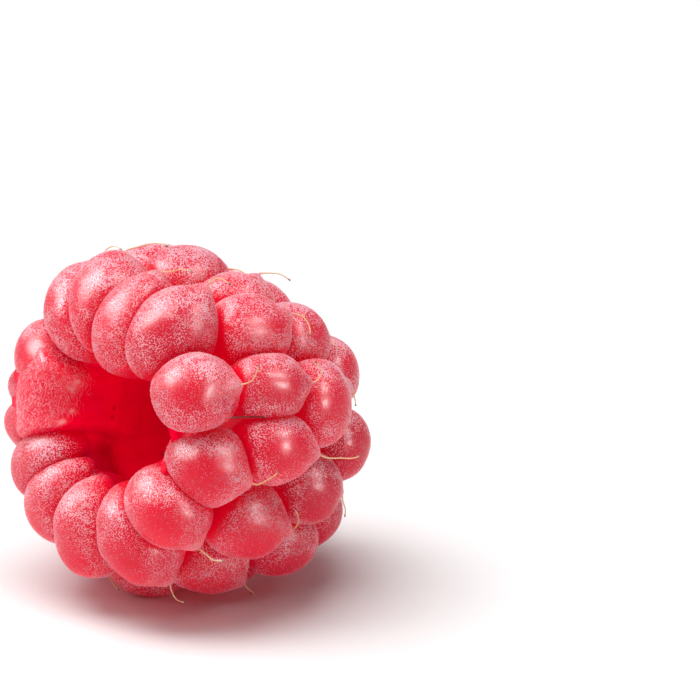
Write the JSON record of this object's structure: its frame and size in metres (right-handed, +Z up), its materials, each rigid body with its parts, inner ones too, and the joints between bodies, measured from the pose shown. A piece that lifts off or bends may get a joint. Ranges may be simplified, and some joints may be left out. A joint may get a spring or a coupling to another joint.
{
  "type": "raspberry",
  "caption": "Ripe picked raspberry lying on its side: rings of plump drupelets grown together round a tapering hollow that opens at the wide end.",
  "frame": {"origin": "on the surface that the berry lies on, under the middle of its bounding box", "axes": "+Z up, the berry's own axis in the XZ plane with the open end towards -X and raised, and the nose towards +X and lower by 14 degrees"},
  "size_m": [0.0234, 0.0239, 0.0238],
  "materials": {
    "drupelet_skin": "thin satin skin, deep red in the creases and frosted pink by fine down on the crowns",
    "hollow_flesh": "moist smooth saturated red, without down",
    "style": "dry straw-coloured thread with a brown tip",
    "down": "fine short whitish-pink hairs"
  },
  "bodies": {
    "root": {"raspberry": "drupelet_skin"}
  },
  "joints": []
}
